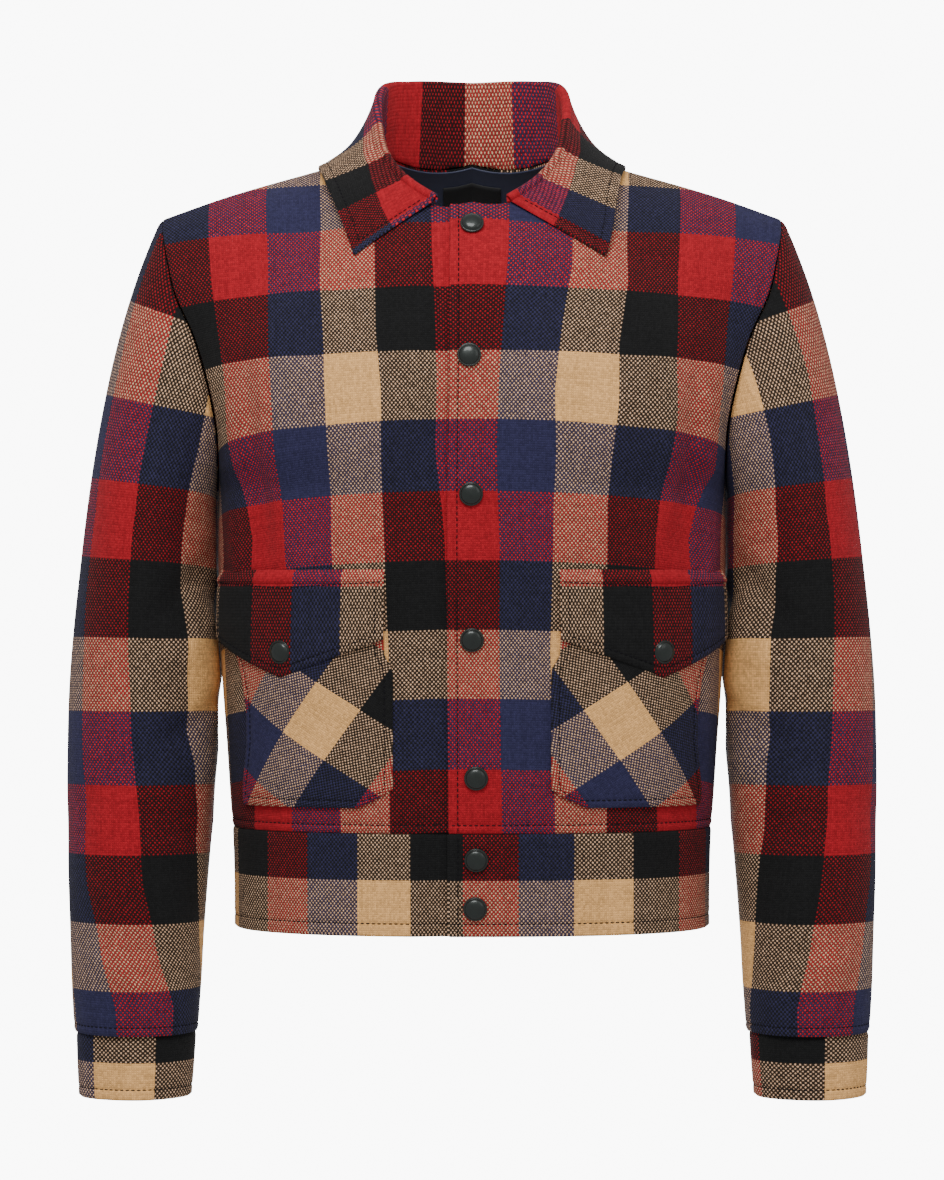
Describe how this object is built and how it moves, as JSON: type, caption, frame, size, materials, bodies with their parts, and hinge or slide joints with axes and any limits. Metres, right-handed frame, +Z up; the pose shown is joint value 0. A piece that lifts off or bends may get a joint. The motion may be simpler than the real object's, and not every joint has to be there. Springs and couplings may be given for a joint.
{
  "type": "wool shirt jacket",
  "caption": "Waist-length checked wool shirt jacket with a turned-down collar, snap front, flap chest pockets, cuffs and a waistband, filled out as if worn.",
  "frame": {"origin": "where the wearer's shoulders carry the jacket: the middle of the neck base", "axes": "+Z up, +X towards the wearer's left side, -Y towards the front"},
  "size_m": [0.6134, 0.2688, 0.7725],
  "materials": {
    "wool_cloth": "matt, brushed wool in a woven check of red, black, navy and tan",
    "wool_cloth_bias": "the same wool cloth cut on the bias",
    "lining": "smooth dark navy lining",
    "label": "bare black woven label",
    "snap": "glossy dark green-black"
  },
  "bodies": {
    "root": {"back": "wool_cloth", "front_left": "wool_cloth", "front_right": "wool_cloth", "sleeve_left": "wool_cloth", "sleeve_right": "wool_cloth", "cuff_left": "wool_cloth", "cuff_right": "wool_cloth", "waistband_left": "wool_cloth", "waistband_right": "wool_cloth", "waistband_back": "wool_cloth", "collar": "wool_cloth", "neck_lining": "lining", "neck_label": "label", "pocket_left": "wool_cloth_bias", "pocket_right": "wool_cloth_bias", "flap_left": "wool_cloth", "flap_right": "wool_cloth", "snap_front_1": "snap", "snap_front_2": "snap", "snap_front_3": "snap", "snap_front_4": "snap", "snap_front_5": "snap", "snap_band_1": "snap", "snap_band_2": "snap", "snap_flap_left": "snap", "snap_flap_right": "snap"}
  },
  "joints": []
}
